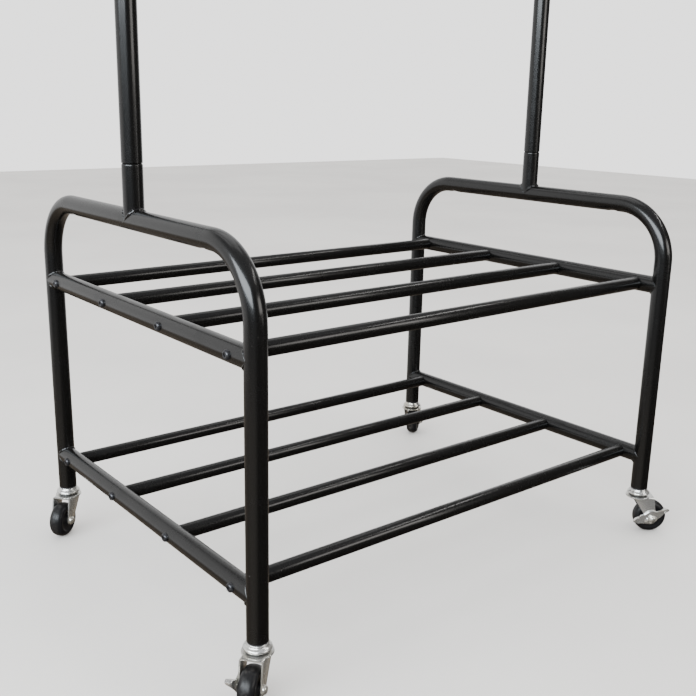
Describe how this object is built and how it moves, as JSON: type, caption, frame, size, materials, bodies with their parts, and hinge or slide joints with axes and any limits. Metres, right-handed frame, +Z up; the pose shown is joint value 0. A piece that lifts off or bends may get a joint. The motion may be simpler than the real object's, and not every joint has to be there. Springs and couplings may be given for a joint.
{
  "type": "rolling clothes rack",
  "caption": "Open tubular clothes rack with a hanging rail, two barred shoe shelves between hooped end frames, and swivel casters with brakes at the front.",
  "frame": {"origin": "on the floor, under the centre of the four legs", "axes": "+Z up, X along the shelf bars with +X to the right seen from the front, -Y towards the front"},
  "size_m": [0.7883, 0.5933, 1.5998],
  "materials": {
    "black_powder_coat": "semi-gloss black powder coat",
    "bolt_steel": "black-oxide button heads",
    "bright_zinc": "bright zinc plate",
    "black_plastic": "moulded, matt",
    "wheel_plastic": "moulded, satin"
  },
  "bodies": {
    "rack": {"left_end_hoop": "black_powder_coat", "left_lower_rail": "black_powder_coat", "left_upper_rail": "black_powder_coat", "left_post_stub": "black_powder_coat", "left_lower_post": "black_powder_coat", "left_upper_post": "black_powder_coat", "right_end_hoop": "black_powder_coat", "right_lower_rail": "black_powder_coat", "right_upper_rail": "black_powder_coat", "right_post_stub": "black_powder_coat", "right_lower_post": "black_powder_coat", "right_upper_post": "black_powder_coat", "hanging_rail": "black_powder_coat", "lower_shelf_bar_1": "black_powder_coat", "lower_shelf_bar_2": "black_powder_coat", "lower_shelf_bar_3": "black_powder_coat", "lower_shelf_bar_4": "black_powder_coat", "upper_shelf_bar_1": "black_powder_coat", "upper_shelf_bar_2": "black_powder_coat", "upper_shelf_bar_3": "black_powder_coat", "upper_shelf_bar_4": "black_powder_coat", "left_lower_bolt_1": "bolt_steel", "left_lower_bolt_2": "bolt_steel", "left_lower_bolt_3": "bolt_steel", "left_lower_bolt_4": "bolt_steel", "left_upper_bolt_1": "bolt_steel", "left_upper_bolt_2": "bolt_steel", "left_upper_bolt_3": "bolt_steel", "left_upper_bolt_4": "bolt_steel", "right_lower_bolt_1": "bolt_steel", "right_lower_bolt_2": "bolt_steel", "right_lower_bolt_3": "bolt_steel", "right_lower_bolt_4": "bolt_steel", "right_upper_bolt_1": "bolt_steel", "right_upper_bolt_2": "bolt_steel", "right_upper_bolt_3": "bolt_steel", "right_upper_bolt_4": "bolt_steel", "left_front_leg_plug": "black_plastic", "left_front_caster_stem": "bright_zinc", "right_front_leg_plug": "black_plastic", "right_front_caster_stem": "bright_zinc", "left_back_leg_plug": "black_plastic", "left_back_caster_stem": "bright_zinc", "right_back_leg_plug": "black_plastic", "right_back_caster_stem": "bright_zinc"},
    "left_front_caster": {"left_front_caster_fork": "bright_zinc", "left_front_caster_axle": "bright_zinc"},
    "left_front_wheel": {"left_front_caster_wheel": "wheel_plastic"},
    "left_front_brake": {"left_front_brake_lever": "bright_zinc"},
    "right_front_caster": {"right_front_caster_fork": "bright_zinc", "right_front_caster_axle": "bright_zinc"},
    "right_front_wheel": {"right_front_caster_wheel": "wheel_plastic"},
    "right_front_brake": {"right_front_brake_lever": "bright_zinc"},
    "left_back_caster": {"left_back_caster_fork": "bright_zinc", "left_back_caster_axle": "bright_zinc"},
    "left_back_wheel": {"left_back_caster_wheel": "wheel_plastic"},
    "right_back_caster": {"right_back_caster_fork": "bright_zinc", "right_back_caster_axle": "bright_zinc"},
    "right_back_wheel": {"right_back_caster_wheel": "wheel_plastic"}
  },
  "joints": [
    {"name": "left_front_swivel", "type": "hinge", "parent": "rack", "child": "left_front_caster", "pos_m": [-0.3515, -0.26, 0.058], "axis": [0, 0, 1], "continuous": true},
    {"name": "left_front_wheel_spin", "type": "hinge", "parent": "left_front_caster", "child": "left_front_wheel", "pos_m": [-0.3675, -0.272, 0.025], "axis": [0.6, -0.8, 0], "continuous": true},
    {"name": "left_front_brake_rock", "type": "hinge", "parent": "left_front_caster", "child": "left_front_brake", "pos_m": [-0.3675, -0.272, 0.025], "axis": [0.6, -0.8, 0], "range_deg": [0, 24]},
    {"name": "right_front_swivel", "type": "hinge", "parent": "rack", "child": "right_front_caster", "pos_m": [0.3515, -0.26, 0.058], "axis": [0, 0, 1], "continuous": true},
    {"name": "right_front_wheel_spin", "type": "hinge", "parent": "right_front_caster", "child": "right_front_wheel", "pos_m": [0.3675, -0.272, 0.025], "axis": [0.6, 0.8, 0], "continuous": true},
    {"name": "right_front_brake_rock", "type": "hinge", "parent": "right_front_caster", "child": "right_front_brake", "pos_m": [0.3675, -0.272, 0.025], "axis": [0.6, 0.8, 0], "range_deg": [0, 24]},
    {"name": "left_back_swivel", "type": "hinge", "parent": "rack", "child": "left_back_caster", "pos_m": [-0.3515, 0.26, 0.058], "axis": [0, 0, 1], "continuous": true},
    {"name": "left_back_wheel_spin", "type": "hinge", "parent": "left_back_caster", "child": "left_back_wheel", "pos_m": [-0.3675, 0.248, 0.025], "axis": [0.6, -0.8, 0], "continuous": true},
    {"name": "right_back_swivel", "type": "hinge", "parent": "rack", "child": "right_back_caster", "pos_m": [0.3515, 0.26, 0.058], "axis": [0, 0, 1], "continuous": true},
    {"name": "right_back_wheel_spin", "type": "hinge", "parent": "right_back_caster", "child": "right_back_wheel", "pos_m": [0.3675, 0.272, 0.025], "axis": [-0.6, 0.8, 0], "continuous": true}
  ]
}
